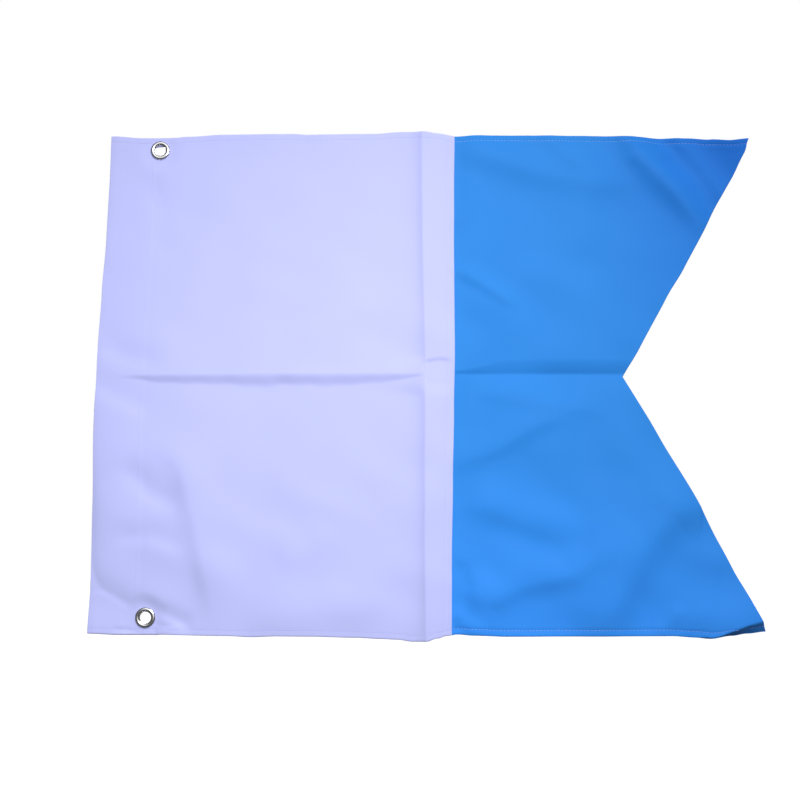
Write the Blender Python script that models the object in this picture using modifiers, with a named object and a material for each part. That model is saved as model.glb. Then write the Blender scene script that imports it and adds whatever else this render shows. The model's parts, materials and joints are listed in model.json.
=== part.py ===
"""Swallow-tailed signal flag: a white hoist panel and a blue fly panel, sewn edge over edge, with two eyelets.

The flag stands upright as it flies. +X runs from the hoist edge to the tails, +Z up the hoist, and the front
faces -Y. The origin is midway between the two eyelets. The fly half folds back about the pressed crease.
"""

import math

import bmesh
import bpy

# Driving dimensions, in metres.
HOIST_HEIGHT = 0.350
FLY_LENGTH = 0.450
WHITE_LENGTH = 0.243
CREASE_TO_SEAM = 0.018
NOTCH_DEPTH = 0.091

CLOTH = 0.0003
HEM_WIDTH = 0.0047
HEM_STITCH_INSET = 0.0039
HEADING_PAST_EYELETS = 0.0021
HEADING_STITCH_INSET = 0.030
SEAM_LAP = 0.0065
SEAM_EDGE_STITCH_INSET = 0.0013
SEAM_INNER_STITCH_INSET = 0.0050
THREAD_DIAMETER = 0.0003

EYELET_FROM_HOIST = 0.035
EYELET_HOLE_RADIUS = 0.0039
EYELET_FLANGE_RADIUS = 0.0069
EYELET_FLANGE_HEIGHT = 0.0010
EYELET_WALL = 0.0003
EYELET_LIP_WIDTH = 0.0011
WASHER_RADIUS = 0.0065
WASHER_THICKNESS = 0.0004

# Clearance between pieces that touch, and between the two halves when they are folded together.
GAP = 0.0003
# Clearance between an eyelet and the hem or the hem's stitching beside it.
EYELET_TO_HEM = 0.0006

# Places along the flag, measured from the eyelets' line.
HOIST_X = -EYELET_FROM_HOIST
HEADING_X = EYELET_FLANGE_RADIUS + HEADING_PAST_EYELETS
SEAM_X = HOIST_X + WHITE_LENGTH
CREASE_X = SEAM_X - CREASE_TO_SEAM
LAP_X = SEAM_X - SEAM_LAP
TIP_X = HOIST_X + FLY_LENGTH
NOTCH_X = TIP_X - NOTCH_DEPTH
EDGE_Z = HOIST_HEIGHT / 2
HEM_Z = EDGE_Z - HEM_WIDTH
HEM_STITCH_Z = EDGE_Z - HEM_STITCH_INSET
HEM_STITCH_INNER_Z = HEM_STITCH_Z - THREAD_DIAMETER / 2
EYELET_Z = min(HEM_Z - WASHER_RADIUS, HEM_STITCH_INNER_Z - EYELET_FLANGE_RADIUS) - EYELET_TO_HEM

# Levels through the thickness, along +Y: each layer of cloth lies behind the one before.
WHITE_FRONT = -CLOTH / 2
WHITE_BACK = WHITE_FRONT + CLOTH
HEADING_BACK = WHITE_BACK + CLOTH
WHITE_HEM_BACK = WHITE_BACK + 2 * CLOTH
BLUE_FRONT = WHITE_BACK + GAP
BLUE_BACK = BLUE_FRONT + CLOTH
BLUE_HEM_BACK = BLUE_BACK + 2 * CLOTH
WASHER_FRONT = HEADING_BACK + GAP
WASHER_BACK = WASHER_FRONT + WASHER_THICKNESS
LIP_FRONT = WASHER_BACK + GAP
LIP_BACK = LIP_FRONT + EYELET_WALL
FLANGE_BACK = WHITE_FRONT - GAP
FLANGE_FRONT = FLANGE_BACK - EYELET_FLANGE_HEIGHT

# The fold's axis lies behind the cloth, so that the folded fly clears the eyelets' lips and the hems.
FOLD_STACK = max(LIP_BACK + BLUE_BACK, WHITE_HEM_BACK + BLUE_HEM_BACK)
FOLD_AXIS_Y = (FOLD_STACK + GAP) / 2

# How far the uncut cloth reaches past the tips, and the wedge that cuts it past that.
NOTCH_CUT_MARGIN = 0.010

RING_STEPS = 40
CORNER_STEPS = 4
MERGE_DISTANCE = 0.000001

FACING_FRONT = (math.pi / 2, 0, 0)


def clear_scene():
    """Removes every object, so that the script gives the same result from any file."""
    for existing in list(bpy.data.objects):
        bpy.data.objects.remove(existing, do_unlink=True)


def new_collection(name):
    """A collection linked to the scene."""
    collection = bpy.data.collections.new(name)
    bpy.context.scene.collection.children.link(collection)
    return collection


def new_material(name, colour, roughness, metallic=0.0):
    """A Principled material with one colour."""
    material = bpy.data.materials.new(name)
    material.use_nodes = True
    shader = material.node_tree.nodes["Principled BSDF"]
    shader.inputs["Base Color"].default_value = (*colour, 1.0)
    shader.inputs["Roughness"].default_value = roughness
    shader.inputs["Metallic"].default_value = metallic
    return material


def place(thing, collection, location, parent=None):
    """Links an object and puts it at a world location, under a parent that is only moved."""
    collection.objects.link(thing)
    thing.location = location
    if parent is not None:
        thing.parent = parent
        thing.location = [at - base for at, base in zip(location, parent.location)]
    return thing


def mesh_from_curve(curve_object):
    """Turns a curve object into a mesh object in the same place, with its caps welded on."""
    bpy.context.view_layer.update()
    evaluated = curve_object.evaluated_get(bpy.context.evaluated_depsgraph_get())
    mesh = bpy.data.meshes.new_from_object(evaluated)
    welded = bmesh.new()
    welded.from_mesh(mesh)
    bmesh.ops.remove_doubles(welded, verts=welded.verts, dist=MERGE_DISTANCE)
    bmesh.ops.recalc_face_normals(welded, faces=welded.faces)
    welded.to_mesh(mesh)
    welded.free()
    name = curve_object.name
    result = bpy.data.objects.new(name, mesh)
    result.matrix_world = curve_object.matrix_world.copy()
    curve = curve_object.data
    bpy.data.objects.remove(curve_object)
    bpy.data.curves.remove(curve)
    result.name = name
    return result


def flat_layer(name, outline, front, back):
    """A flat layer of cloth: an outline in X and Z, filled, from one level to another along Y."""
    curve = bpy.data.curves.new(name, "CURVE")
    curve.dimensions = "2D"
    curve.fill_mode = "BOTH"
    curve.extrude = (back - front) / 2
    spline = curve.splines.new("POLY")
    spline.points.add(len(outline) - 1)
    for point, (x, z) in zip(spline.points, outline):
        point.co = (x, z, 0, 1)
    spline.use_cyclic_u = True
    layer = bpy.data.objects.new(name, curve)
    bpy.context.scene.collection.objects.link(layer)
    layer.location = (0, (front + back) / 2, 0)
    layer.rotation_euler = FACING_FRONT
    return mesh_from_curve(layer)


def rectangle(left, right, low, high):
    """The outline of a rectangle in X and Z."""
    return [(left, low), (right, low), (right, high), (left, high)]


def layered_panel(name, sheet, layers, material, parent=None):
    """A panel of cloth with its turned-back layers, as one body.

    The sheet and the layers are objects from flat_layer; the layers are joined to the sheet's back.
    """
    sheet.name = name
    sheet.data.materials.append(material)
    place(sheet, flag_parts, sheet.location.copy(), parent)
    for layer in layers:
        hide_as_cutter(layer)
        union = sheet.modifiers.new(layer.name, "BOOLEAN")
        union.operation = "UNION"
        union.object = layer
    return sheet


def hide_as_cutter(thing):
    """Puts an operand of a Boolean with the cutters, out of the model."""
    cutters.objects.link(thing)
    thing.hide_render = True
    thing.display_type = "WIRE"


def cut_out(panel, cutter):
    """Cuts a shape out of a panel, through all its layers."""
    hide_as_cutter(cutter)
    cut = panel.modifiers.new(cutter.name, "BOOLEAN")
    cut.operation = "DIFFERENCE"
    cut.object = cutter


def pierce(panel, x, z):
    """Cuts the round hole that an eyelet's barrel passes through."""
    bpy.ops.mesh.primitive_cylinder_add(
        vertices=RING_STEPS,
        radius=EYELET_HOLE_RADIUS + EYELET_WALL + GAP,
        depth=20 * CLOTH,
        location=(x, 0, z),
        rotation=FACING_FRONT,
    )
    punch = bpy.context.object
    punch.name = "eyelet_punch"
    for collection in list(punch.users_collection):
        collection.objects.unlink(punch)
    cut_out(panel, punch)


def corner(centre, radius, start_degrees, end_degrees):
    """Points of a rounded corner, in radius and height."""
    points = []
    for step in range(CORNER_STEPS + 1):
        angle = math.radians(start_degrees + (end_degrees - start_degrees) * step / CORNER_STEPS)
        points.append((centre[0] + radius * math.cos(angle), centre[1] + radius * math.sin(angle)))
    return points


def turned_ring(name, profile, x, z, material):
    """A ring turned about the eyelet's axis; the profile's heights point to the front."""
    mesh = bpy.data.meshes.new(name)
    points = [(radius, 0, height) for radius, height in profile]
    edges = [(index, (index + 1) % len(points)) for index in range(len(points))]
    mesh.from_pydata(points, edges, [])
    mesh.materials.append(material)
    ring = bpy.data.objects.new(name, mesh)
    place(ring, flag_parts, (x, 0, z))
    ring.rotation_euler = FACING_FRONT
    screw = ring.modifiers.new("turn", "SCREW")
    screw.axis = "Z"
    screw.angle = math.tau
    screw.steps = RING_STEPS
    screw.render_steps = RING_STEPS
    screw.use_merge_vertices = True
    screw.merge_threshold = MERGE_DISTANCE
    screw.use_smooth_shade = True
    return ring


def eyelet(name, z):
    """The eyelet: a domed flange on the front, a barrel through the cloth and a lip rolled over the washer."""
    inner = EYELET_HOLE_RADIUS
    barrel = inner + EYELET_WALL
    lip = barrel + EYELET_LIP_WIDTH
    outer = EYELET_FLANGE_RADIUS
    front = -FLANGE_FRONT
    shoulder = EYELET_FLANGE_HEIGHT * 0.7
    profile = corner((inner + shoulder, front - shoulder), shoulder, 180, 90)
    profile += corner((outer - shoulder, front - shoulder), shoulder, 90, 0)
    profile += [(outer, -FLANGE_BACK), (barrel, -FLANGE_BACK), (barrel, -LIP_FRONT), (lip, -LIP_FRONT)]
    profile += [(lip, -LIP_BACK + EYELET_WALL / 2), (lip - EYELET_WALL / 2, -LIP_BACK)]
    profile += corner((inner + EYELET_WALL, -LIP_BACK + EYELET_WALL), EYELET_WALL, 270, 180)
    return turned_ring(name, profile, 0, z, nickel)


def eyelet_washer(name, z):
    """The plain ring that the eyelet's lip is rolled over, behind the cloth."""
    inner = EYELET_HOLE_RADIUS + EYELET_WALL + GAP
    edge = WASHER_THICKNESS / 4
    profile = [
        (inner, -WASHER_FRONT),
        (WASHER_RADIUS - edge, -WASHER_FRONT),
        (WASHER_RADIUS, -WASHER_FRONT - edge),
        (WASHER_RADIUS, -WASHER_BACK + edge),
        (WASHER_RADIUS - edge, -WASHER_BACK),
        (inner, -WASHER_BACK),
    ]
    return turned_ring(name, profile, 0, z, nickel)


def thread_row(name, route, material, parent=None):
    """A row of stitching, as one plain thread along the cloth's front; the route gives X, level and Z."""
    curve = bpy.data.curves.new(name, "CURVE")
    curve.dimensions = "3D"
    curve.bevel_depth = THREAD_DIAMETER / 2
    curve.bevel_resolution = 2
    curve.use_fill_caps = True
    curve.materials.append(material)
    spline = curve.splines.new("POLY")
    spline.points.add(len(route) - 1)
    base = (0, 0, 0) if parent is None else parent.location
    for point, (x, level, z) in zip(spline.points, route):
        y = level - GAP - THREAD_DIAMETER / 2
        point.co = (x - base[0], y - base[1], z - base[2], 1)
    row = bpy.data.objects.new(name, curve)
    return place(row, flag_parts, base, parent)


def notch_edge_x(z):
    """Where the swallow-tail's cut edge crosses a height."""
    return NOTCH_X + NOTCH_DEPTH * abs(z) / EDGE_Z


clear_scene()
flag_parts = new_collection("signal_flag")
cutters = new_collection("cutters")

white_cloth = new_material("white_cloth", (0.62, 0.66, 0.95), 0.5)
blue_cloth = new_material("blue_cloth", (0.04, 0.25, 0.80), 0.45)
white_thread = new_material("white_thread", (0.72, 0.76, 0.95), 0.6)
nickel = new_material("nickel", (0.75, 0.75, 0.76), 0.2, 1.0)

fold_axis = bpy.data.objects.new("fold_axis", None)
place(fold_axis, flag_parts, (CREASE_X, FOLD_AXIS_Y, 0))

# The white panel, hoist side: one sheet with its heading turned back and its long edges hemmed.
hoist_end = CREASE_X - GAP / 2
heading = flat_layer("heading_turn", rectangle(HOIST_X, HEADING_X, -EDGE_Z, EDGE_Z), 0, HEADING_BACK)
hoist_hems = [
    flat_layer("hoist_top_hem", rectangle(HOIST_X, hoist_end, HEM_Z, EDGE_Z), 0, WHITE_HEM_BACK),
    flat_layer("hoist_bottom_hem", rectangle(HOIST_X, hoist_end, -EDGE_Z, -HEM_Z), 0, WHITE_HEM_BACK),
]
white_hoist = layered_panel(
    "white_panel_hoist_side",
    flat_layer("sheet", rectangle(HOIST_X, hoist_end, -EDGE_Z, EDGE_Z), WHITE_FRONT, WHITE_BACK),
    [heading, *hoist_hems],
    white_cloth,
)
pierce(white_hoist, 0, EYELET_Z)
pierce(white_hoist, 0, -EYELET_Z)

# The white panel, fly side: the strip between the crease and the seam, single over the blue cloth's lap.
strip_start = CREASE_X + GAP / 2
strip_hem_end = LAP_X - GAP
strip_hems = [
    flat_layer("strip_top_hem", rectangle(strip_start, strip_hem_end, HEM_Z, EDGE_Z), 0, WHITE_HEM_BACK),
    flat_layer("strip_bottom_hem", rectangle(strip_start, strip_hem_end, -EDGE_Z, -HEM_Z), 0, WHITE_HEM_BACK),
]
layered_panel(
    "white_panel_seam_side",
    flat_layer("sheet", rectangle(strip_start, SEAM_X, -EDGE_Z, EDGE_Z), WHITE_FRONT, WHITE_BACK),
    strip_hems,
    white_cloth,
    fold_axis,
)

# The blue panel: it starts under the white one's edge, and the notch is cut out of the hemmed cloth.
uncut_x = TIP_X + NOTCH_CUT_MARGIN
blue_middle = (BLUE_FRONT + BLUE_BACK) / 2
blue_hems = [
    flat_layer("blue_top_hem", rectangle(LAP_X, uncut_x, HEM_Z, EDGE_Z), blue_middle, BLUE_HEM_BACK),
    flat_layer("blue_bottom_hem", rectangle(LAP_X, uncut_x, -EDGE_Z, -HEM_Z), blue_middle, BLUE_HEM_BACK),
]
blue_panel = layered_panel(
    "blue_panel",
    flat_layer("sheet", rectangle(LAP_X, uncut_x, -EDGE_Z, EDGE_Z), BLUE_FRONT, BLUE_BACK),
    blue_hems,
    blue_cloth,
    fold_axis,
)
wedge_x = uncut_x + NOTCH_CUT_MARGIN
wedge_z = EDGE_Z * (wedge_x - NOTCH_X) / NOTCH_DEPTH
wedge_outline = [(NOTCH_X, 0), (wedge_x, -wedge_z), (wedge_x, wedge_z)]
cut_out(blue_panel, flat_layer("notch_wedge", wedge_outline, BLUE_FRONT - CLOTH, BLUE_HEM_BACK + CLOTH))

# The eyelets and the washers behind them.
for side, eyelet_height in (("upper", EYELET_Z), ("lower", -EYELET_Z)):
    eyelet(f"{side}_eyelet", eyelet_height)
    eyelet_washer(f"{side}_eyelet_washer", eyelet_height)

# The rows of stitching: hems along both long edges, the heading between the eyelets, and the seam's two rows.
seam_step = 4 * GAP
thread_tip_x = notch_edge_x(HEM_STITCH_Z) - THREAD_DIAMETER
for side, stitch_z in (("top", HEM_STITCH_Z), ("bottom", -HEM_STITCH_Z)):
    hoist_route = [
        (HOIST_X + THREAD_DIAMETER, WHITE_FRONT, stitch_z),
        (hoist_end, WHITE_FRONT, stitch_z),
    ]
    thread_row(f"{side}_hem_thread_hoist_side", hoist_route, white_thread)
    fly_route = [
        (strip_start, WHITE_FRONT, stitch_z),
        (SEAM_X, WHITE_FRONT, stitch_z),
        (SEAM_X + seam_step, BLUE_FRONT, stitch_z),
        (thread_tip_x, BLUE_FRONT, stitch_z),
    ]
    thread_row(f"{side}_hem_thread_fly_side", fly_route, white_thread, fold_axis)

heading_x = HOIST_X + HEADING_STITCH_INSET
heading_end = EYELET_Z - EYELET_FLANGE_RADIUS - GAP
heading_route = [(heading_x, WHITE_FRONT, -heading_end), (heading_x, WHITE_FRONT, heading_end)]
thread_row("heading_thread", heading_route, white_thread)

seam_end = HEM_STITCH_Z - THREAD_DIAMETER - GAP
for row_name, inset in (("edge", SEAM_EDGE_STITCH_INSET), ("inner", SEAM_INNER_STITCH_INSET)):
    row_x = SEAM_X - inset
    seam_route = [(row_x, WHITE_FRONT, -seam_end), (row_x, WHITE_FRONT, seam_end)]
    thread_row(f"seam_{row_name}_thread", seam_route, white_thread, fold_axis)
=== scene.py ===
import json
import math

import bpy
import numpy as np
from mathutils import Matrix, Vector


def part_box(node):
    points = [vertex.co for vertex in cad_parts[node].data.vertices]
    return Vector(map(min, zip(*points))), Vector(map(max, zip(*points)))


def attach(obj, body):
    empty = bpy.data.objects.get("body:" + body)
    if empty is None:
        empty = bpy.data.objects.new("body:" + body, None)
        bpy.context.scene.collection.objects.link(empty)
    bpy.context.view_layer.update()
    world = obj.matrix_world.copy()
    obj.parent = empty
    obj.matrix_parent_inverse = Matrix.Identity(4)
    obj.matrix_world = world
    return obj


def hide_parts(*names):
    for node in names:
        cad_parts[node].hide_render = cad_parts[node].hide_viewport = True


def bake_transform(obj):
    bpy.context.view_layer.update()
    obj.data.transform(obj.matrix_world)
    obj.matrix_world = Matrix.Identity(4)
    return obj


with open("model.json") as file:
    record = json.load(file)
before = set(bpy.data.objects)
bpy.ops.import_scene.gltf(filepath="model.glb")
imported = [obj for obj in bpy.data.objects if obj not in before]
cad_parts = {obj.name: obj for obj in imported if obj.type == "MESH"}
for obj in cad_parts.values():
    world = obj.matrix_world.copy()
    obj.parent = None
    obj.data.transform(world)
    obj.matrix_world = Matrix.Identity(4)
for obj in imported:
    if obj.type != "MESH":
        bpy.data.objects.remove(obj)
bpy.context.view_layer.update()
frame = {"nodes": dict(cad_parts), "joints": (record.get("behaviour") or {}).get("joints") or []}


# --- White hoist panel ----------------------------------------------------------------------------
# One piece of smooth coated polyester, turned back 44 mm at the hoist, where the eyelets go through it. It is
# hemmed along the top and bottom, and turned under where it laps over the blue cloth and is sewn to it.
# Folding in store has left two pressed creases: one up the middle of the flag, and one along it.

CLOTH_THICKNESS = 0.0002
LAYER_PITCH = 0.00025
COARSE_STEP = 0.0020
FINE_STEP = 0.0008

hoist_low, hoist_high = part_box("white_panel_hoist_side")
blue_low, blue_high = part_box("blue_panel")
eyelet_low, eyelet_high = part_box("upper_eyelet")
HOIST_X = hoist_low.x
SEAM_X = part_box("white_panel_seam_side")[1].x
TIP_X = blue_high.x
LAP_X = blue_low.x
EDGE_Z = hoist_high.z
FOLD_X = frame["joints"][0]["pos_m"][0]
EYELET_Z = (eyelet_low.z + eyelet_high.z) / 2
# The hole punched in the cloth, as a share of the washer's radius.
HOLE_SHARE = 0.69
EYELET_HOLE = (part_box("upper_eyelet_washer")[1].z - EYELET_Z) * HOLE_SHARE

HEADING_X = 0.009
TURN_UNDER = 0.006
HEM_WIDTH = 0.0047
NOTCH_X = 0.324

# The pressed creases, the hem's stitching, how far the blue cloth stands forward, and the tallest fold.
CREASE_X = FOLD_X - 0.0018
CREASE_LEAN = 0.0031
HALF_CREASE_Z = 0.002
HEM_STITCH_Z = 0.1711
BLUE_LIFT = 0.0034
CREST = 0.0030
TALLEST = 0.0117

WHITE_FOOT = (0.503, 0.536, 0.93)
WHITE = (0.500, 0.530, 0.93)
CLOTH_ROUGHNESS = 0.6

# The soft folds. Each is a bent line over the cloth as (x, z) places, then (height, width on the left of the
# line's run, width on its right). A negative height is a hollow.
HOIST_FOLDS = [
    (
        [(0.004, -0.040), (0.024, -0.062), (0.031, -0.092), (0.039, -0.126), (0.050, -0.175)],
        (0.0022, 0.018, 0.008),
    ),
    ([(-0.020, -0.056), (0.004, -0.080), (0.026, -0.092)], (-0.0013, 0.009, 0.007)),
    ([(-0.026, -0.110), (0.004, -0.108), (0.030, -0.118)], (-0.0010, 0.008, 0.006)),
    ([(0.002, -0.159), (0.014, -0.161), (0.034, -0.171)], (-0.0016, 0.006, 0.004)),
    ([(0.002, -0.166), (0.010, -0.169), (0.022, -0.1695)], (-0.0008, 0.003, 0.0025)),
    ([(-0.020, -0.1718), (-0.009, -0.1722), (0.002, -0.173)], (-0.0008, 0.0025, 0.002)),
    ([(0.050, -0.172), (0.085, -0.160), (0.145, -0.156), (0.180, -0.138)], (0.0016, 0.018, 0.013)),
    ([(0.085, -0.128), (0.110, -0.118), (0.128, -0.100)], (0.0008, 0.014, 0.009)),
    ([(-0.045, 0.034), (-0.016, 0.015), (0.014, 0.010)], (-0.0009, 0.010, 0.007)),
    ([(-0.045, 0.004), (-0.023, -0.011), (0.008, -0.026)], (-0.0010, 0.010, 0.007)),
    ([(-0.010, 0.150), (0.004, 0.118), (0.003, 0.080)], (-0.0006, 0.007, 0.007)),
    ([(0.090, 0.020), (0.125, 0.034), (0.160, 0.062)], (0.0008, 0.010, 0.014)),
]

FLY_FOLDS = [
    (
        [(0.327, 0.192), (0.336, 0.160), (0.346, 0.147), (0.363, 0.130), (0.388, 0.098)],
        (0.0056, 0.018, 0.0105),
    ),
    ([(0.340, 0.180), (0.349, 0.166), (0.355, 0.154)], (0.0012, 0.007, 0.005)),
    (
        [(0.200, 0.182), (0.230, 0.161), (0.275, 0.147), (0.310, 0.140), (0.345, 0.139)],
        (0.0026, 0.020, 0.0115),
    ),
    ([(0.265, 0.184), (0.288, 0.160), (0.302, 0.146)], (0.0012, 0.010, 0.006)),
    ([(0.202, 0.080), (0.214, 0.073), (0.228, 0.065), (0.256, 0.046)], (0.0013, 0.008, 0.0038)),
    ([(0.209, 0.100), (0.220, 0.126), (0.224, 0.152)], (0.0009, 0.008, 0.005)),
    (
        [(0.198, -0.061), (0.214, -0.058), (0.238, -0.049), (0.262, -0.034), (0.295, -0.020)],
        (0.0019, 0.015, 0.0070),
    ),
    ([(0.202, -0.085), (0.232, -0.089), (0.262, -0.101), (0.294, -0.112)], (0.0016, 0.015, 0.009)),
    ([(0.285, -0.066), (0.306, -0.096), (0.302, -0.122), (0.284, -0.136)], (0.0008, 0.014, 0.009)),
    (
        [(0.222, -0.180), (0.231, -0.153), (0.252, -0.141), (0.285, -0.134), (0.314, -0.108)],
        (0.0030, 0.016, 0.0085),
    ),
    ([(0.204, -0.116), (0.220, -0.127), (0.226, -0.142), (0.221, -0.162)], (0.0015, 0.010, 0.006)),
    ([(0.207, -0.156), (0.218, -0.168), (0.234, -0.178)], (0.0013, 0.007, 0.005)),
    (
        [
            (0.292, -0.190), (0.309, -0.158), (0.321, -0.136), (0.335, -0.110),
            (0.349, -0.092), (0.371, -0.085), (0.396, -0.092),
        ],
        (0.0066, 0.030, 0.0165),
    ),
    ([(0.352, -0.182), (0.370, -0.158), (0.378, -0.132), (0.388, -0.106)], (0.0018, 0.016, 0.0095)),
    ([(0.340, -0.178), (0.350, -0.166), (0.359, -0.154)], (0.0010, 0.006, 0.005)),
]


def smooth(start, end, value):
    """0 before start and 1 after end, with a soft turn at both."""
    part = np.clip((value - start) / (end - start), 0, 1)
    return part * part * (3 - 2 * part)


def through(places, values, value):
    """A soft curve through a few values along a line."""
    value = np.asarray(value, float)
    result = np.full(value.shape, float(values[0]))
    for first in range(len(places) - 1):
        rise = values[first + 1] - values[first]
        result += rise * smooth(places[first], places[first + 1], value)
    return result


def fold(x, z, points, height, gentle, steep):
    """A soft fold along a bent line: it falls away gently on the line's left and steeply on its right."""
    nearest = np.full(x.shape, np.inf)
    across = np.zeros(x.shape)
    along = np.zeros(x.shape)
    done = 0.0
    for (start_x, start_z), (end_x, end_z) in zip(points, points[1:]):
        run_x, run_z = end_x - start_x, end_z - start_z
        length = math.hypot(run_x, run_z)
        part = np.clip(((x - start_x) * run_x + (z - start_z) * run_z) / length**2, 0, 1)
        away_x = x - start_x - part * run_x
        away_z = z - start_z - part * run_z
        distance = np.hypot(away_x, away_z)
        closer = distance < nearest
        nearest = np.where(closer, distance, nearest)
        across = np.where(closer, np.sign(run_x * away_z - run_z * away_x) * distance, across)
        along = np.where(closer, done + part * length, along)
        done += length
    ends = smooth(0, 0.3, along / done) * (1 - smooth(0.7, 1, along / done))
    return height * ends * np.exp(-((across / np.where(across < 0, steep, gentle)) ** 2))


def lengthwise_crease(x, z):
    """The crease up the middle: a long rise that ends in a sharp crest, then a quick fall to the seam."""
    crest_x = CREASE_X - CREASE_LEAN * z / EDGE_Z
    before = crest_x - x
    # The two creases cross here: the crest fades out, and the strip by the seam is pressed in.
    bowed_z = z - 0.0008 * np.cos((x - 0.199) / 0.004)
    crushed = smooth(-0.0150, -0.004, z) * (1 - smooth(0.0094, 0.0126, bowed_z))
    spread_out = smooth(-0.014, -0.003, z) * (1 - smooth(0.002, 0.015, z))
    flick = CREST * np.exp(-np.clip(before, 0, None) / (0.0052 + 0.010 * spread_out))
    hoist = 0.0006 + 0.0020 * (1 - smooth(-0.06, 0.04, z))
    level = 0.0042
    rise = hoist + (level - hoist) * smooth(0.0, 0.15, x)
    right = BLUE_LIFT + (level + CREST - BLUE_LIFT) * (1 - smooth(-0.004, 0.030, -before))
    crush = 0.0008 * crushed * smooth(-0.003, 0.003, -before) * (1 - smooth(0.012, 0.022, -before))
    return np.where(before > 0, rise + flick, right) - crush


def half_height_crease(x, z):
    """The crease along the flag: it stands proud of the white cloth and dips into the blue."""
    above = z - HALF_CREASE_Z
    places = [-0.018, 0.015, 0.050, 0.078, 0.090, 0.125, 0.138, 0.160, CREASE_X + 0.001]
    reaches = [0.0024, 0.0058, 0.0066, 0.0084, 0.0070, 0.0078, 0.0070, 0.0054, 0.0012]
    heights = [0.0009, 0.0021, 0.0024, 0.0027, 0.0026, 0.0026, 0.0024, 0.0018, 0.0004]
    reach = through(places, reaches, x) * (1 + 0.06 * np.sin(330 * x))
    past = above + 0.0008
    ridge = np.where(past > 0, np.exp(-past / 0.036), 1 - smooth(-0.1, 1.15, -past / reach))
    on_white = smooth(-0.026, 0.0, x) * (1 - smooth(CREASE_X - 0.006, CREASE_X + 0.001, x))
    thick = 0.0016 + 0.0086 * smooth(SEAM_X - 0.004, SEAM_X + 0.042, x)
    valley = np.where(above > 0, np.clip(1 - above / thick, 0, 1) ** 1.6, np.exp(above / 0.012))
    on_blue = smooth(SEAM_X - 0.002, SEAM_X + 0.003, x)
    below_line = [(0.212, -0.006), (0.240, -0.013), (0.275, -0.019), (0.325, -0.026)]
    second = fold(x, z, below_line, 0.0008, 0.012, 0.006)
    proud = through(places, heights, x) * ridge * on_white
    return proud - (0.0003 + 0.23 * thick) * valley * on_blue + second


def corner_pull(x, z):
    """The hoist's lower corner, pulled out of flat where the flag was held."""
    line_z = -0.1440 - 0.17 * (x - HOIST_X) - 12.0 * (x - HOIST_X) ** 2
    above, below = z - line_z, line_z - z
    near = 1 - smooth(0.0, 0.026, x)
    height = -0.0027 * np.exp(-np.clip(above, 0, None) / 0.016) * near * (1 - smooth(0.0, 0.0025, below))
    height -= 0.0022 * near * smooth(0.0, 0.0025, below)
    return height + 0.085 * np.clip(below, 0, 0.034) * (1 - smooth(-0.014, 0.010, x))


def crumple(x, z):
    """The slight unevenness of limp cloth: a few long waves that run every way."""
    seeded = np.random.default_rng(11)
    height = np.zeros(x.shape)
    for angle in seeded.uniform(0, math.pi, 10):
        wave = math.tau / seeded.uniform(0.030, 0.085)
        bend, phase, turn = seeded.uniform(0, math.tau, 3)
        run = x * math.cos(angle) + z * math.sin(angle)
        aside = z * math.cos(angle) - x * math.sin(angle)
        wander = 1.6 * np.sin(0.6 * wave * aside + bend)
        height += np.sin(wave * run + wander + phase) * (0.6 + 0.4 * np.sin(turn))
    return height


def lift(x, z):
    """How far the cloth stands in front of its flat place."""
    x, z = np.asarray(x, float), np.asarray(z, float)
    height = lengthwise_crease(x, z) + half_height_crease(x, z) + corner_pull(x, z)
    for line, (tall, gentle, steep) in HOIST_FOLDS + FLY_FOLDS:
        height += fold(x, z, line, tall, gentle, steep)
    limp = 0.00009 + 0.00008 * (1 - smooth(-0.12, 0.0, z)) + 0.00009 * smooth(SEAM_X, SEAM_X + 0.01, x)
    height += limp * crumple(x, z)
    # The stitches pucker the hems a little.
    from_hem = np.clip(EDGE_Z - np.abs(z), 0, None)
    height += 0.00012 * np.sin(560 * x) * np.sin(217 * x + 1.3) * np.exp(-from_hem / 0.007)
    # The hoist edge turns back, more so where the flag was held, and the heading's row draws the cloth in.
    held = smooth(0.0, 0.09, -0.01 - z) * smooth(-0.150, -0.143, z)
    from_edge = np.clip(x - HOIST_X, 0, None)
    height -= (0.0005 + 0.0016 * held) * np.exp(-from_edge / (0.0032 + 0.0030 * held))
    height -= 0.00015 * np.exp(-(((x + 0.002) / 0.003) ** 2))
    # Both tails lift towards their tips, the upper one past a slanting line. TALLEST caps every fold.
    past_line = (x - 0.380) * 0.853 + (z - 0.168) * 0.522
    upper_tip = 0.0034 * smooth(-0.020, -0.007, past_line) + 0.0080 * smooth(-0.004, 0.034, past_line)
    upper_tip = (upper_tip - 0.0030 * smooth(-0.040, -0.022, past_line)) * smooth(0.09, 0.13, z)
    lower_tip = 0.0062 * smooth(0.345, 0.410, x) * (1 - smooth(-0.167, -0.130, z))
    height = np.clip(height + lower_tip + upper_tip, 0, TALLEST)
    # The lower tail's hem rolls under at its tip.
    roll_z = -EDGE_Z + 0.0078 * smooth(0.372, TIP_X, x)
    height *= 1 - np.clip((roll_z - z) / np.maximum(roll_z + EDGE_Z, 1e-5), 0, 1)
    # The hem's thread sinks in, deepest in the blue cloth, and the eyelets hold the cloth flat round them.
    on_blue = 0.15 + 0.85 * smooth(SEAM_X, SEAM_X + 0.002, x)
    height -= 0.00035 * on_blue * np.exp(-(((np.abs(z) - HEM_STITCH_Z) / 0.0011) ** 2))
    eyelet = np.minimum(np.hypot(x, z - EYELET_Z), np.hypot(x, z + EYELET_Z))
    return np.clip(height, 0, None) * smooth(0.0062, 0.017, eyelet)


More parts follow.
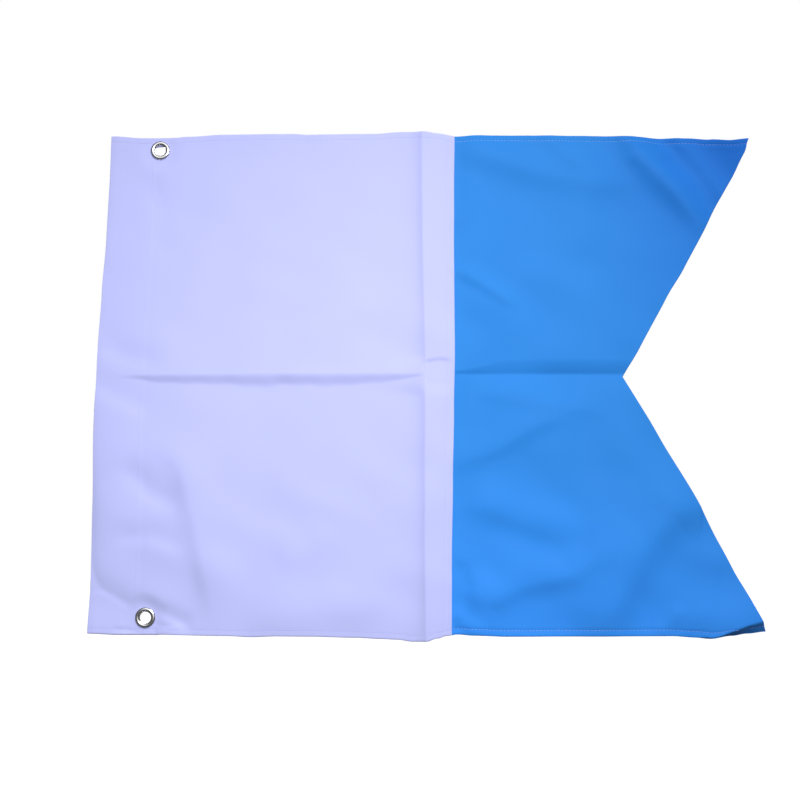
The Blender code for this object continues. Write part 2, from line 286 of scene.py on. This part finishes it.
def top_edge_shift(x):
    """How far the top edge strays from straight along the flag."""
    places = [HOIST_X, -0.012, 0.006, 0.020, 0.045, 0.092, 0.106]
    values = [-0.0015, -0.0029, -0.0028, -0.0018, -0.0005, -0.0005, -0.0014]
    places += [0.150, 0.170, 0.186, 0.196, 0.209, 0.225, 0.300]
    values += [-0.0010, 0.0002, -0.0002, -0.0011, -0.0028, -0.0021, -0.0022]
    places += [0.320, 0.335, 0.350, 0.375, 0.390, 0.404, TIP_X]
    values += [-0.0024, -0.0030, -0.0036, -0.0041, -0.0058, -0.0077, -0.0070]
    return through(places, values, x)


def bottom_edge_shift(x):
    """How far the bottom edge strays from straight along the flag."""
    places = [HOIST_X, -0.015, 0.0, 0.055, 0.072, 0.090, 0.112, 0.145]
    values = [0.0017, 0.0009, 0.0009, 0.0, -0.0007, -0.0002, -0.0003, -0.0011]
    places += [0.160, 0.172, 0.182, 0.191, 0.199, 0.205, 0.212, 0.222]
    values += [-0.0018, -0.0023, -0.0036, -0.0035, -0.0014, 0.0002, 0.0010, 0.0003]
    places += [0.245, 0.320, 0.352, 0.366, 0.378, 0.392, 0.403, TIP_X]
    values += [-0.0005, -0.0002, -0.0001, -0.0009, -0.0020, 0.0, 0.0015, 0.0028]
    return through(places, values, x)


def sideways_shift(x, z):
    """How far the hoist edge, the seam and the notch's edge stray along the flag."""
    hoist = through(
        [-EDGE_Z, -0.140, -0.090, -0.030, 0.020, 0.060, 0.100, 0.150, EDGE_Z],
        [-0.0026, -0.0025, -0.0031, -0.0044, -0.0039, -0.0026, -0.0008, 0.0, 0.0],
        z,
    )
    seam = through(
        [-EDGE_Z, -0.129, -0.073, -0.024, 0.020, 0.090, 0.130, EDGE_Z],
        [-0.0033, -0.0030, -0.0019, -0.0008, 0.0001, 0.0, 0.0003, 0.0009],
        z,
    )
    notch = through(
        [-EDGE_Z, -0.140, -0.090, -0.040, 0.0, 0.020, 0.055, 0.077, 0.100, 0.120, 0.143, 0.163, EDGE_Z],
        [0.0, 0.0014, 0.0026, 0.0018, 0.0003, 0.0018, 0.0029, 0.0049, 0.0055, 0.0050, 0.0052, 0.0033, 0.0005],
        z,
    )
    by_hoist = 1 - smooth(HOIST_X, 0.05, x)
    by_seam = smooth(0.02, 0.18, x) * (1 - smooth(SEAM_X, 0.31, x))
    by_notch = smooth(0.24, 0.35, x)
    return hoist * by_hoist + seam * by_seam + notch * by_notch


def laid(x, level, z):
    """Where a point of the flat flag comes to, on the cloth as it hangs."""
    x, level, z = (np.asarray(value, float) for value in (x, level, z))
    reach = np.abs(z) / EDGE_Z
    strayed_z = z + reach**4 * np.where(z > 0, top_edge_shift(x), bottom_edge_shift(x))
    return np.stack([x + sideways_shift(x, z), level - lift(x, z), strayed_z], axis=-1)


def graded(start, end, creases):
    """Places from start to end, close together near the creases and further apart between them."""
    places = [start]
    direction = 1 if end > start else -1
    while (end - places[-1]) * direction > 0:
        nearest = min(abs(places[-1] - crease) for crease in creases)
        step = FINE_STEP + (COARSE_STEP - FINE_STEP) * float(smooth(0.004, 0.014, nearest))
        places.append(places[-1] + direction * step)
    stretch = (end - start) / (places[-1] - start)
    return [start + (place - start) * stretch for place in places]


def turned(path, edge, width, direction):
    """Adds to a path across the cloth a fold at edge, and the turned-back width behind it.

    A path is a list of (place, part of the turn); direction is +1 at a high edge.
    """
    turn = [(edge, step / 4) for step in range(1, 4)]
    back = [(edge - direction * width * step / 3, 1.0) for step in range(4)]
    return path + turn + back


def hemmed_rows(low, high):
    """The rows up a panel: the bottom hem's turned edge, the panel, and the top hem's turned edge."""
    upper = turned([], high, HEM_WIDTH, 1)
    lower = turned([], low, HEM_WIDTH, -1)
    creases = [HALF_CREASE_Z - 0.004, HALF_CREASE_Z + 0.004, low, high]
    middle = [(place, 0.0) for place in graded(low, high, creases)]
    return lower[::-1] + middle + upper


def cloth_grid(name, columns, rows, end_of_row=None, behind=0.0, punch=()):
    """A folded and hemmed panel as one sheet of mesh.

    Columns and rows are (place, part of the turn). end_of_row gives the fly edge's X at a height. behind is
    the sheet's level, and punch lists the centres of round holes.
    """
    column_place = np.array([place for place, turn in columns])
    column_turn = np.array([turn for place, turn in columns])
    row_place = np.array([place for place, turn in rows])
    row_turn = np.array([turn for place, turn in rows])
    x, z = np.meshgrid(column_place, row_place)
    across, along = np.meshgrid(column_turn, row_turn)
    if end_of_row is not None:
        share = (x - LAP_X) / (column_place.max() - LAP_X)
        x = LAP_X + share * (end_of_row(z) - LAP_X)
    # The turn at the hoist or the seam comes first, and the hems are folded over it.
    pitch = LAYER_PITCH
    first_angle = math.pi * across
    first_level = pitch / 2 * (1 - np.cos(first_angle))
    first_out = pitch / 2 * np.sin(first_angle)
    outward = np.where(x < FOLD_X, -1, 1)
    x = x + outward * first_out
    doubled = np.zeros_like(x)
    if np.any(column_turn > 0):
        under_heading = 1 - smooth(HEADING_X, HEADING_X + 0.002, x)
        under_seam = smooth(SEAM_X - TURN_UNDER - 0.002, SEAM_X - TURN_UNDER, x)
        doubled = np.clip(under_heading + under_seam, 0, 1)
    stack = pitch * (1 + 2 * doubled)
    angle = math.pi * along
    arm = stack / 2 - first_level
    level = behind + stack / 2 - arm * np.cos(angle)
    z = z + np.sign(z) * arm * np.sin(angle)
    points = laid(x, level, z).reshape(-1, 3)
    wide = len(columns)
    faces = []
    for row in range(len(rows) - 1):
        for column in range(wide - 1):
            corner = row * wide + column
            faces.append((corner, corner + 1, corner + 1 + wide, corner + wide))
    flat = np.stack([x.ravel(), z.ravel()], axis=-1)
    for centre_x, centre_z, radius in punch:
        away = flat - np.array([centre_x, centre_z])
        distance = np.hypot(away[:, 0], away[:, 1])
        faces = [face for face in faces if distance[list(face)].max() > radius * 0.98]
        used = np.zeros(len(flat), bool)
        used[np.unique(np.array(faces))] = True
        near = used & (distance < radius + FINE_STEP * 0.9)
        scale = (radius / distance[near])[:, None]
        moved = np.array([centre_x, centre_z]) + away[near] * scale
        points[near, 0] = moved[:, 0]
        points[near, 2] = moved[:, 1]
    mesh = bpy.data.meshes.new(name)
    used = np.unique(np.array(faces))
    renumber = np.full(len(points), -1)
    renumber[used] = np.arange(len(used))
    mesh.from_pydata(points[used].tolist(), [], [tuple(int(renumber[i]) for i in face) for face in faces])
    mesh.update()
    mesh.polygons.foreach_set("use_smooth", [True] * len(mesh.polygons))
    panel = bpy.data.objects.new(name, mesh)
    bpy.context.scene.collection.objects.link(panel)
    thick = panel.modifiers.new("cloth thickness", "SOLIDIFY")
    thick.thickness = CLOTH_THICKNESS
    thick.offset = 0
    return panel


def finished(piece):
    """Applies a piece's modifiers, so that its mesh is final."""
    bpy.context.view_layer.update()
    evaluated = piece.evaluated_get(bpy.context.evaluated_depsgraph_get())
    mesh = bpy.data.meshes.new_from_object(evaluated)
    piece.modifiers.clear()
    spare = piece.data
    piece.data = mesh
    bpy.data.meshes.remove(spare)
    mesh.name = piece.name
    return piece


class Reading:
    """A value in a material's nodes. A sum written on readings adds the Math nodes that work it out."""

    def __init__(self, tree, socket):
        self.tree = tree
        self.socket = socket

    def node(self, kind, settings=None, sockets=None, output=0):
        """Adds a node: settings first, then the values or readings of its sockets. Gives one output."""
        added = self.tree.nodes.new(kind)
        for key, value in (settings or {}).items():
            setattr(added, key, value)
        for key, value in (sockets or {}).items():
            if isinstance(value, Reading):
                self.tree.links.new(value.socket, added.inputs[key])
            else:
                added.inputs[key].default_value = value
        return Reading(self.tree, added.outputs[output])

    def math(self, operation, first, second):
        return self.node("ShaderNodeMath", {"operation": operation}, {0: first, 1: second})

    def __add__(self, other):
        return self.math("ADD", self, other)

    def __mul__(self, other):
        return self.math("MULTIPLY", self, other)


def new_material(name):
    """A material with its Principled shader, and a reading that starts its nodes."""
    material = bpy.data.materials.new(name)
    material.use_nodes = True
    shader = material.node_tree.nodes["Principled BSDF"]
    return material, shader, Reading(material.node_tree, shader.outputs[0])


def coated_cloth(name, colour_below, colour_above, tail_shade_colour, roughness):
    """Closely woven polyester under a thin smooth coating. Its colour runs brighter towards the foot, and the
    upper tail is darkened with painted shade.
    """
    material, shader, start = new_material(name)
    place = start.node("ShaderNodeTexCoord", output=3)
    axes = place.node("ShaderNodeSeparateXYZ", sockets={0: place})
    height = Reading(start.tree, axes.socket.node.outputs[2])
    threads_per_metre = 2 * math.pi * 2600
    warp = (axes * threads_per_metre).math("SINE", axes * threads_per_metre, 0.0)
    weft = height.math("SINE", height * threads_per_metre, 0.0)
    weave = warp * weft
    broad = {0: place, "Scale": 14.0, "Detail": 2.0, "Roughness": 0.45}
    cloud = place.node("ShaderNodeTexNoise", sockets=broad)
    close = {0: place, "Scale": 900.0, "Detail": 2.0, "Roughness": 0.6}
    fine = place.node("ShaderNodeTexNoise", sockets=close)
    # The colour turns from colour_above to the brighter colour_below over the lower half, with faint random
    # blotches.
    upright = place.node(
        "ShaderNodeMix",
        {"data_type": "RGBA"},
        {"Factor": cloud * 0.12 + height * -8.0 + -0.46, 6: (*colour_above, 1.0), 7: (*colour_below, 1.0)},
        output=2,
    )
    # Painted shade: right of x 0.3 and above the middle, the upper tail is mixed towards the darker tail
    # colour.
    outward = axes.math("MAXIMUM", axes * 7.0 + -2.1, 0.0)
    tail_shade_mask = outward * height.math("MAXIMUM", height * 7.0 + 0.1, 0.0)
    tint = place.node(
        "ShaderNodeMix",
        {"data_type": "RGBA"},
        {"Factor": tail_shade_mask, 6: upright, 7: (*tail_shade_colour, 1.0)},
        output=2,
    )
    shader.inputs["Specular IOR Level"].default_value = 0.08
    shader.inputs["Sheen Weight"].default_value = 0.03
    shader.inputs["Sheen Roughness"].default_value = 0.45
    relief = weave * 0.5 + fine * 0.5
    bumped = place.node("ShaderNodeBump", {}, {"Strength": 0.12, "Distance": 0.00006, "Height": relief})
    start.tree.links.new(tint.socket, shader.inputs["Base Color"])
    start.tree.links.new((fine * 0.10 + (roughness - 0.05)).socket, shader.inputs["Roughness"])
    start.tree.links.new(bumped.socket, shader.inputs["Normal"])
    return material


heading = [(place, 1.0) for place in np.linspace(HEADING_X, HOIST_X, 22)]
hoist_turn = [(HOIST_X, step / 4) for step in range(3, 0, -1)]
finer_near = [HOIST_X, 0.0, CREASE_X, CREASE_X + 0.010, SEAM_X]
white_front = [(place, 0.0) for place in graded(HOIST_X, SEAM_X, finer_near)]
seam_turn = turned([], SEAM_X, TURN_UNDER, 1)
eyelet_holes = [(0.0, EYELET_Z, EYELET_HOLE), (0.0, -EYELET_Z, EYELET_HOLE)]
white_panel = cloth_grid(
    "white_panel",
    heading + hoist_turn + white_front + seam_turn,
    hemmed_rows(-EDGE_Z, EDGE_Z),
    punch=eyelet_holes,
)
white_cloth = coated_cloth("white_cloth", WHITE_FOOT, WHITE, WHITE, CLOTH_ROUGHNESS)
white_panel.data.materials.append(white_cloth)
finished(white_panel)
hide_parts("white_panel_hoist_side", "white_panel_seam_side")
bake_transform(white_panel)


# --- Blue fly panel -------------------------------------------------------------------------------
# The same cloth in blue. It starts under the white panel's lapped edge, is hemmed along the top and bottom,
# and ends in two tails: the notch is cut out after hemming and sealed by the hot knife, so it has no hem.

# Its colour near the foot, above it, and at the upper tail, where the darker blue is painted shade.
BLUE_FOOT = (0.037, 0.273, 0.893)
BLUE = (0.028, 0.233, 0.707)
BLUE_TAIL_SHADE = (0.016, 0.165, 0.69)


def fly_edge(z):
    """Where the swallow-tail's cut edge crosses a height."""
    return NOTCH_X + (TIP_X - NOTCH_X) * np.abs(z) / EDGE_Z


blue_columns = [(place, 0.0) for place in graded(LAP_X, TIP_X, [SEAM_X, TIP_X])]
blue_panel = cloth_grid(
    "blue_panel_cloth",
    blue_columns,
    hemmed_rows(-EDGE_Z, EDGE_Z),
    end_of_row=fly_edge,
    behind=2 * LAYER_PITCH,
)
blue_cloth = coated_cloth("blue_cloth", BLUE_FOOT, BLUE, BLUE_TAIL_SHADE, CLOTH_ROUGHNESS)
blue_panel.data.materials.append(blue_cloth)
finished(blue_panel)
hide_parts("blue_panel")
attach(blue_panel, "fly_half")


# --- Eyelets and washers --------------------------------------------------------------------------
# Nickel-plated brass eyelets. Each one's flange is a rolled ring, and its barrel goes through the doubled
# cloth. The barrel's end is rolled over a plain washer at the back, so that neither can turn.

RING_STEPS = 72
FLANGE_STEPS = 14
LIP_STEPS = 7
# The bore as a share of the flange's radius, the level of the flange's back, and the rolled lip's half width.
BORE_SHARE = 0.565
FLANGE_BACK = -0.00045
LIP_HALF = 0.0007
BARREL_WALL = 0.0003


def plated_metal(name):
    """Bright nickel plate, with the faint rubs of the die that closed it."""
    material, shader, start = new_material(name)
    place = start.node("ShaderNodeTexCoord", output=3)
    worn = {0: place, "Scale": 420.0, "Detail": 3.0, "Roughness": 0.6}
    rubs = place.node("ShaderNodeTexNoise", sockets=worn)
    tone = place.node(
        "ShaderNodeMix",
        {"data_type": "RGBA"},
        {"Factor": rubs, 6: (0.66, 0.66, 0.69, 1.0), 7: (0.86, 0.86, 0.88, 1.0)},
        output=2,
    )
    shader.inputs["Metallic"].default_value = 1.0
    bumped = place.node("ShaderNodeBump", {}, {"Strength": 0.12, "Distance": 0.0001, "Height": rubs})
    start.tree.links.new(tone.socket, shader.inputs["Base Color"])
    start.tree.links.new((rubs * 0.14 + 0.07).socket, shader.inputs["Roughness"])
    start.tree.links.new(bumped.socket, shader.inputs["Normal"])
    return material


def arc(centre, half_wide, half_deep, first, last, steps):
    """Points round part of an oval, as (radius, level) pairs; angles in degrees."""
    angles = np.radians(np.linspace(first, last, steps))
    return [(centre[0] + half_wide * math.cos(a), centre[1] + half_deep * math.sin(a)) for a in angles]


nickel = plated_metal("nickel_plate")
for side in ("upper", "lower"):
    ring_low, ring_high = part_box(f"{side}_eyelet")
    washer_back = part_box(f"{side}_eyelet_washer")[1].y
    outer = (ring_high.z - ring_low.z) / 2
    middle_z = (ring_high.z + ring_low.z) / 2
    bore = outer * BORE_SHARE
    # Round the flange's front from the outside in, down the barrel, and round the rolled lip.
    flange_middle = (outer + bore) / 2
    flange_wide = (outer - bore) / 2
    flange_deep = FLANGE_BACK - ring_low.y
    profile = arc((flange_middle, FLANGE_BACK), flange_wide, flange_deep, 0, -180, FLANGE_STEPS)
    lip_deep = ring_high.y - washer_back
    profile += arc((bore + LIP_HALF, washer_back), LIP_HALF, lip_deep, 180, 0, LIP_STEPS)
    profile += [(bore + BARREL_WALL, washer_back), (bore + BARREL_WALL, FLANGE_BACK)]
    mesh = bpy.data.meshes.new(f"{side}_eyelet_metal")
    points = []
    faces = []
    for step in range(RING_STEPS):
        angle = math.tau * step / RING_STEPS
        points += [(r * math.cos(angle), level, middle_z + r * math.sin(angle)) for r, level in profile]
        for place in range(len(profile)):
            here = step * len(profile)
            after = (step + 1) % RING_STEPS * len(profile)
            following = (place + 1) % len(profile)
            faces.append((here + place, here + following, after + following, after + place))
    mesh.from_pydata(points, [], faces)
    mesh.update()
    mesh.polygons.foreach_set("use_smooth", [True] * len(mesh.polygons))
    mesh.set_sharp_from_angle(angle=math.radians(50))
    eyelet_metal = bpy.data.objects.new(f"{side}_eyelet_metal", mesh)
    bpy.context.scene.collection.objects.link(eyelet_metal)
    mesh.materials.append(nickel)
    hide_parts(f"{side}_eyelet")
    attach(eyelet_metal, "hoist_half")
    washer = frame["nodes"][f"{side}_eyelet_washer"]
    washer.data.materials.clear()
    washer.data.materials.append(nickel)


# --- Stitching ------------------------------------------------------------------------------------
# White polyester thread in lockstitch: a row along each hem, one up the heading beside the eyelets, and two
# up the seam. The same rows show on the back, half a stitch along.

STITCH_PITCH = 0.0024
STITCH_LENGTH = 0.0019
STITCH_WIDTH = 0.00034
STITCH_HEIGHT = 0.00022
PATH_STEP = 0.0012

thread_material, thread_shader, thread_start = new_material("white_thread")
thread_place = thread_start.node("ShaderNodeTexCoord", output=3)
ply = thread_place.node("ShaderNodeTexNoise", sockets={0: thread_place, "Scale": 2600.0, "Detail": 1.0})
thread_tint = ply.node(
    "ShaderNodeMix",
    {"data_type": "RGBA"},
    {"Factor": ply, 6: (0.37, 0.41, 0.76, 1.0), 7: (0.45, 0.49, 0.86, 1.0)},
    output=2,
)
thread_start.tree.links.new(thread_tint.socket, thread_shader.inputs["Base Color"])
thread_shader.inputs["Roughness"].default_value = 0.55
thread_shader.inputs["Sheen Weight"].default_value = 0.2


def front_level(x):
    """The level of the cloth's front along a row."""
    x = np.asarray(x, float)
    return np.where(x < SEAM_X, 0.0, 2 * LAYER_PITCH) - CLOTH_THICKNESS / 2


def stitch_tree():
    """Geometry Nodes that set a short raised stitch at every pitch along a path."""
    tree = bpy.data.node_groups.new("stitch_row", "GeometryNodeTree")
    face = tree.interface
    face.new_socket("Path", in_out="INPUT", socket_type="NodeSocketGeometry")
    for label in ("Pitch", "Length", "Width", "Height"):
        face.new_socket(label, in_out="INPUT", socket_type="NodeSocketFloat")
    face.new_socket("Thread", in_out="INPUT", socket_type="NodeSocketMaterial")
    face.new_socket("Stitches", in_out="OUTPUT", socket_type="NodeSocketGeometry")
    given = tree.nodes.new("NodeGroupInput")
    result = tree.nodes.new("NodeGroupOutput")
    curve = tree.nodes.new("GeometryNodeMeshToCurve")
    spaced = tree.nodes.new("GeometryNodeResampleCurve")
    spaced.mode = "LENGTH"
    tangent = tree.nodes.new("GeometryNodeInputTangent")
    facing = tree.nodes.new("FunctionNodeAlignRotationToVector")
    facing.axis = "X"
    stitch = tree.nodes.new("GeometryNodeMeshUVSphere")
    stitch.inputs["Segments"].default_value = 6
    stitch.inputs["Rings"].default_value = 5
    stitch.inputs["Radius"].default_value = 0.5
    size = tree.nodes.new("ShaderNodeCombineXYZ")
    placed = tree.nodes.new("GeometryNodeInstanceOnPoints")
    real = tree.nodes.new("GeometryNodeRealizeInstances")
    painted = tree.nodes.new("GeometryNodeSetMaterial")
    link = tree.links.new
    link(given.outputs["Path"], curve.inputs["Mesh"])
    link(curve.outputs["Curve"], spaced.inputs["Curve"])
    link(given.outputs["Pitch"], spaced.inputs["Length"])
    link(tangent.outputs["Tangent"], facing.inputs["Vector"])
    link(given.outputs["Length"], size.inputs["X"])
    link(given.outputs["Width"], size.inputs["Y"])
    link(given.outputs["Height"], size.inputs["Z"])
    link(spaced.outputs["Curve"], placed.inputs["Points"])
    link(stitch.outputs["Mesh"], placed.inputs["Instance"])
    link(facing.outputs["Rotation"], placed.inputs["Rotation"])
    link(size.outputs["Vector"], placed.inputs["Scale"])
    link(placed.outputs["Instances"], real.inputs["Geometry"])
    link(real.outputs["Geometry"], painted.inputs["Geometry"])
    link(given.outputs["Thread"], painted.inputs["Material"])
    link(painted.outputs["Geometry"], result.inputs["Stitches"])
    return tree


stitches = stitch_tree()


def stitched(name, rows):
    """A row of stitching on the cloth: rows are the flat places of its front and its back threads."""
    mesh = bpy.data.meshes.new(name)
    points, edges = [], []
    for flat in rows:
        start = len(points)
        points.extend(laid(*np.array(flat).T).tolist())
        edges.extend((start + step, start + step + 1) for step in range(len(flat) - 1))
    mesh.from_pydata(points, edges, [])
    thread = bpy.data.objects.new(name, mesh)
    bpy.context.scene.collection.objects.link(thread)
    sewn = thread.modifiers.new("stitches", "NODES")
    sewn.node_group = stitches
    values = {
        "Pitch": STITCH_PITCH,
        "Length": STITCH_LENGTH,
        "Width": STITCH_WIDTH,
        "Height": STITCH_HEIGHT,
        "Thread": thread_material,
    }
    for socket in stitches.interface.items_tree:
        if socket.name in values and socket.in_out == "INPUT":
            sewn[socket.identifier] = values[socket.name]
    return finished(thread)


def row_along(z, start, end):
    """A hem's two threads: along the front, and along the back half a stitch on."""
    shift = STITCH_PITCH / 2
    front = [(x, front_level(x), z) for x in np.arange(start, end, PATH_STEP)]
    back = []
    for x in np.arange(start + shift, end - shift, PATH_STEP):
        doubled = float(1 - smooth(HEADING_X, HEADING_X + 0.002, x))
        level = LAYER_PITCH * (1 + 2 * doubled) if x < LAP_X else 3 * LAYER_PITCH
        back.append((x, level + CLOTH_THICKNESS / 2, z))
    return front, back


def row_up(x, low, high, back_level):
    """A seam's or a heading's two threads: up the front, and up the back half a stitch on."""
    shift = STITCH_PITCH / 2
    front = [(x, float(front_level(x)), z) for z in np.arange(low, high, PATH_STEP)]
    level = back_level + CLOTH_THICKNESS / 2
    back = [(x, level, z) for z in np.arange(low + shift, high - shift, PATH_STEP)]
    return front, back


for side in ("top", "bottom"):
    near_low, near_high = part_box(f"{side}_hem_thread_hoist_side")
    far_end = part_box(f"{side}_hem_thread_fly_side")[1].x
    hem_z = (near_low.z + near_high.z) / 2
    hem_thread = stitched(f"{side}_hem_thread", row_along(hem_z, near_low.x, far_end))
    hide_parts(f"{side}_hem_thread_hoist_side", f"{side}_hem_thread_fly_side")
    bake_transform(hem_thread)

for row_name, body, back_level in (
    ("heading_thread", "hoist_half", LAYER_PITCH),
    ("seam_edge_thread", "fly_half", 2 * LAYER_PITCH),
    ("seam_inner_thread", "fly_half", 2 * LAYER_PITCH),
):
    row_low, row_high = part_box(row_name)
    row_x = (row_low.x + row_high.x) / 2
    row_thread = stitched(f"{row_name}_row", row_up(row_x, row_low.z, row_high.z, back_level))
    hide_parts(row_name)
    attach(row_thread, body)


# --- Studio ---------------------------------------------------------------------------------------
# A wide white floor below the flag, one softbox above and to the right of the camera, a weak one behind the
# flag, and a surround that is bright behind the camera and dim to the sides.

scene = bpy.context.scene
scene.view_settings.view_transform = "Standard"

FLOOR_Z = -0.60
FLOOR_HALF = 40.0
bpy.ops.mesh.primitive_plane_add(size=2 * FLOOR_HALF, location=(0.19, 0, FLOOR_Z))
floor = bpy.context.object
floor.name = "floor"
floor.visible_diffuse = False
floor.visible_glossy = False
floor_material, floor_shader = new_material("floor_white")[:2]
floor_shader.inputs["Base Color"].default_value = (0.9, 0.9, 0.9, 1.0)
floor_shader.inputs["Roughness"].default_value = 0.9
floor_shader.inputs["Specular IOR Level"].default_value = 0.0
floor_shader.inputs["Emission Color"].default_value = (1.0, 1.0, 1.0, 1.0)
floor_shader.inputs["Emission Strength"].default_value = 0.85
floor.data.materials.append(floor_material)

SURROUND_DIM = 0.10
SURROUND_BRIGHT = 1.31
world = bpy.data.worlds.new("surround")
scene.world = world
world.use_nodes = True
surround = world.node_tree.nodes["Background"]
sky_start = Reading(world.node_tree, surround.outputs[0])
direction = sky_start.node("ShaderNodeTexCoord", output=0)
toward_front = sky_start.node(
    "ShaderNodeVectorMath",
    {"operation": "DOT_PRODUCT"},
    {0: direction, 1: (0.15, -0.87, 0.47)},
    output=1,
)
glow = sky_start.node(
    "ShaderNodeMapRange",
    {"interpolation_type": "SMOOTHSTEP"},
    {
        "Value": toward_front,
        "From Min": 0.76,
        "From Max": 0.95,
        "To Min": SURROUND_DIM,
        "To Max": SURROUND_BRIGHT,
    },
)
world.node_tree.links.new(glow.socket, surround.inputs["Strength"])
seen = world.node_tree.nodes.new("ShaderNodeBackground")
path = world.node_tree.nodes.new("ShaderNodeLightPath")
either = world.node_tree.nodes.new("ShaderNodeMixShader")
world.node_tree.links.new(path.outputs["Is Camera Ray"], either.inputs[0])
world.node_tree.links.new(surround.outputs[0], either.inputs[1])
world.node_tree.links.new(seen.outputs[0], either.inputs[2])
world.node_tree.links.new(either.outputs[0], world.node_tree.nodes["World Output"].inputs["Surface"])
for background in (surround, seen):
    background.inputs["Color"].default_value = (1.0, 1.0, 1.0, 1.0)


def aim(thing, place, target):
    """Puts a light or the camera at a place, looking at a target."""
    thing.location = place
    direction = [to - at for to, at in zip(target, place)]
    flat_run = math.hypot(direction[0], direction[1])
    thing.rotation_euler = (
        math.pi / 2 + math.atan2(direction[2], flat_run),
        0,
        -math.atan2(direction[0], direction[1]),
    )


def soft_light(name, place, target, width, power, spread=180):
    """A square softbox; a spread in degrees below 180 gathers its light towards the target."""
    data = bpy.data.lights.new(name, "AREA")
    data.size = width
    data.energy = power
    data.spread = math.radians(spread)
    light = bpy.data.objects.new(name, data)
    scene.collection.objects.link(light)
    aim(light, place, target)
    return light


soft_light("key_light", (0.35, -0.90, 0.38), (0.10, 0, -0.050), 0.36, 1.50, spread=68)
soft_light("back_light", (-0.10, 1.20, 0.55), (0.19, 0, 0), 0.8, 22.0)

camera_data = bpy.data.cameras.new("camera")
camera_data.angle = math.radians(40)
camera = bpy.data.objects.new("camera", camera_data)
scene.collection.objects.link(camera)
aim(camera, (0.1705, -0.749, -0.124), (0.1705, 0, -0.016))
scene.camera = camera
